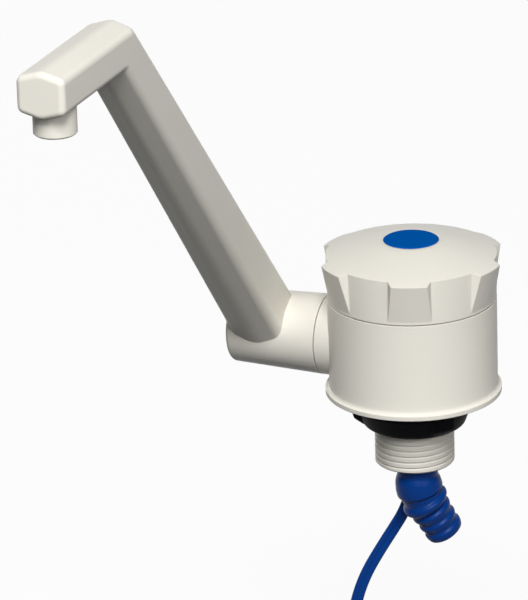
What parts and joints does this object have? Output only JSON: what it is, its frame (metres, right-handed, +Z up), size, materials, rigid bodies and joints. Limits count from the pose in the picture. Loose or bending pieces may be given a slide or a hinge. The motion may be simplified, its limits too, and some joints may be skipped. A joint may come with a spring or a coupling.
{
  "type": "tap",
  "caption": "Fold-down cold-water tap with a lobed turning knob, an angled spout, a threaded shank with a winged nut, a barbed hose tail and a pump-switch cable.",
  "frame": {"origin": "on the knob's axis, in the plane of the worktop that the tap stands on", "axes": "+Z up along the knob's axis; the hub's axis is parallel to X and the hub stands on the -X side; the spout reaches towards -Y, over the sink"},
  "size_m": [0.0949, 0.23, 0.3111],
  "materials": {
    "white_plastic": "satin moulding",
    "black_plastic": "satin moulding",
    "rubber": "matt",
    "blue_plastic": "satin moulding",
    "blue_cable": "smooth extrusion",
    "acetal": "matt moulding",
    "brass": "turned",
    "steel": "plain",
    "red_plastic": "matt moulding",
    "tinned_wire": "tinned strands"
  },
  "bodies": {
    "tap": {"tap_body": "white_plastic", "deck_gasket": "rubber", "valve_housing": "acetal", "housing_screws": "steel", "gland_nut": "brass", "outlet_spigot": "brass", "spigot_clip": "steel", "nose_seal": "rubber", "hub_seals": "rubber", "hub_washer": "steel", "hub_screw": "steel", "switch_case": "black_plastic", "lever_pin": "steel", "switch_terminals": "brass", "switch_screws": "steel", "hose_tail": "blue_plastic", "tail_seal": "rubber", "cable_clamp": "acetal", "clamp_screws": "steel", "inner_cable": "blue_cable", "inner_leads": "blue_cable", "switch_cable": "blue_cable", "cable_coil": "blue_cable", "cable_tie": "black_plastic", "core_ends": "tinned_wire"},
    "knob": {"knob": "white_plastic", "knob_disc": "blue_plastic", "knob_screw": "steel", "switch_cam": "acetal", "valve_spindle": "brass", "spindle_seals": "rubber"},
    "spout": {"spout": "white_plastic", "hub_cap": "white_plastic", "nozzle": "white_plastic", "flow_straightener": "acetal"},
    "lever": {"switch_lever": "steel"},
    "plunger": {"switch_plunger": "red_plastic"},
    "washer": {"clamp_washer": "black_plastic"},
    "nut": {"fixing_nut": "black_plastic"}
  },
  "joints": [
    {"name": "knob_turn", "type": "hinge", "parent": "tap", "child": "knob", "pos_m": [0, 0, 0], "axis": [0, 0, 1], "range_deg": [0, 90]},
    {"name": "spout_fold", "type": "hinge", "parent": "tap", "child": "spout", "pos_m": [0, 0, 0.0163], "axis": [1, 0, 0], "range_deg": [0, 48]},
    {"name": "lever_turn", "type": "hinge", "parent": "tap", "child": "lever", "pos_m": [0.0116, 0.0056, 0], "axis": [0, 0, 1], "range_deg": [0, 6.5]},
    {"name": "plunger_press", "type": "slide", "parent": "tap", "child": "plunger", "axis": [1, 0, 0], "range_m": [0, 0.0007]},
    {"name": "washer_travel", "type": "slide", "parent": "tap", "child": "washer", "axis": [0, 0, -1], "range_m": [0, 0.012]},
    {"name": "nut_turn", "type": "hinge", "parent": "washer", "child": "nut", "pos_m": [0, 0, 0], "axis": [0, 0, -1], "range_deg": [0, 2160]}
  ],
  "couplings": [
    {"joint": "lever_turn", "follows": "knob_turn", "ratio": 0.07222},
    {"joint": "plunger_press", "follows": "knob_turn", "m_per_rad": 0.00044},
    {"joint": "washer_travel", "follows": "nut_turn", "m_per_rad": 0.0003183}
  ]
}
